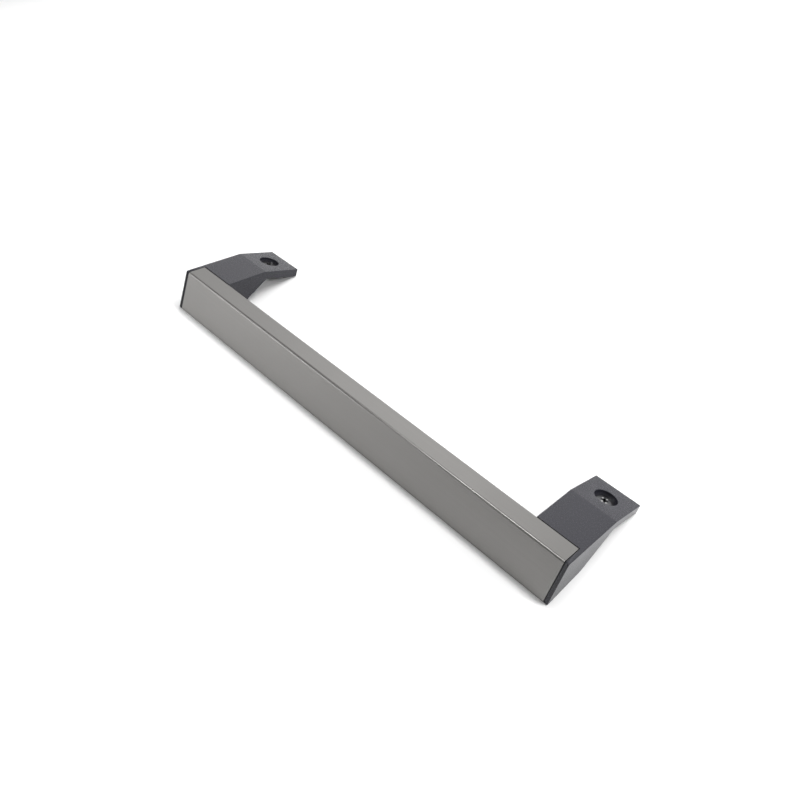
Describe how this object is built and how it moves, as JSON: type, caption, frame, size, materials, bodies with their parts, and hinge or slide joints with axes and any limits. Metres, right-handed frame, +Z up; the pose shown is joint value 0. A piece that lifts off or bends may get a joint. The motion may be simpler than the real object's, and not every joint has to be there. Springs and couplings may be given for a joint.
{
  "type": "refrigerator door handle",
  "caption": "Pull handle for a refrigerator door: a hollow metal grip bar between two moulded end brackets whose lugs are screwed down to the door's edge.",
  "frame": {"origin": "midway between the two mounting screws, on the plane that the undersides of the lugs rest on", "axes": "+X along the bar to the right, -Y towards the user and out of the door's front, +Z up, out of the edge that the lugs are screwed down to"},
  "size_m": [0.32, 0.0733, 0.0382],
  "materials": {
    "satin_metal": "satin, fine grain along the bar",
    "bracket_plastic": "semi-gloss moulded dark grey",
    "dark_screw": "dark coated steel",
    "plated_screw": "zinc plated steel"
  },
  "bodies": {
    "root": {"handle_bar": "satin_metal", "left_bracket": "bracket_plastic", "right_bracket": "bracket_plastic", "left_mounting_screw": "dark_screw", "right_mounting_screw": "dark_screw", "left_bar_screw": "plated_screw", "right_bar_screw": "plated_screw"}
  },
  "joints": []
}
